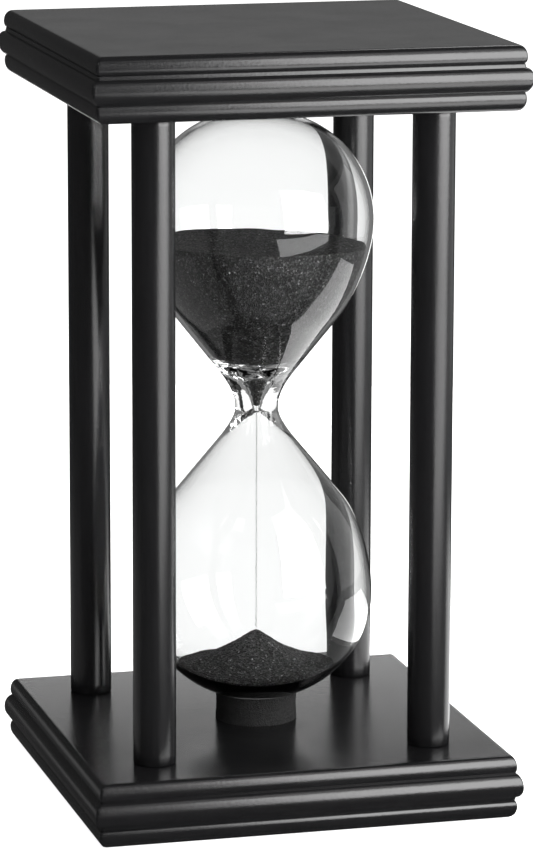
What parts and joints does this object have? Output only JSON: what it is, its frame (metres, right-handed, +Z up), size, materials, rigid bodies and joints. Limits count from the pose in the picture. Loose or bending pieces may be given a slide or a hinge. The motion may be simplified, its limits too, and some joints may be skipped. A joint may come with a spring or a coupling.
{
  "type": "hourglass",
  "caption": "Desk hourglass: a two-lobed glass bulb with running sand, held in foam seats between moulded square plates joined by round posts.",
  "frame": {"origin": "centre of the base plate's underside", "axes": "+Z up along the bulb's axis; -Y is the front, +X the right"},
  "size_m": [0.13, 0.13, 0.23],
  "materials": {
    "lacquered_wood": "satin black lacquer",
    "bare_beech": "bare",
    "foam": "matte sponge",
    "clear_glass": "clear, polished",
    "cork": "bare cork",
    "black_sand": "fine grains, some glittering"
  },
  "bodies": {
    "stand": {"base_plate": "lacquered_wood", "top_plate": "lacquered_wood", "front_left_post": "lacquered_wood", "front_right_post": "lacquered_wood", "back_left_post": "lacquered_wood", "back_right_post": "lacquered_wood", "front_left_lower_pin": "bare_beech", "front_left_upper_pin": "bare_beech", "front_right_lower_pin": "bare_beech", "front_right_upper_pin": "bare_beech", "back_left_lower_pin": "bare_beech", "back_left_upper_pin": "bare_beech", "back_right_lower_pin": "bare_beech", "back_right_upper_pin": "bare_beech", "lower_foam_seat": "foam", "upper_foam_seat": "foam"},
    "bulb": {"glass_bulb": "clear_glass", "filling_stopper": "cork", "upper_sand": "black_sand", "sand_stream": "black_sand", "lower_sand": "black_sand"}
  },
  "joints": [
    {"name": "bulb_turn", "type": "hinge", "parent": "stand", "child": "bulb", "pos_m": [0, 0, 0.115], "axis": [0, 0, 1], "continuous": true}
  ]
}
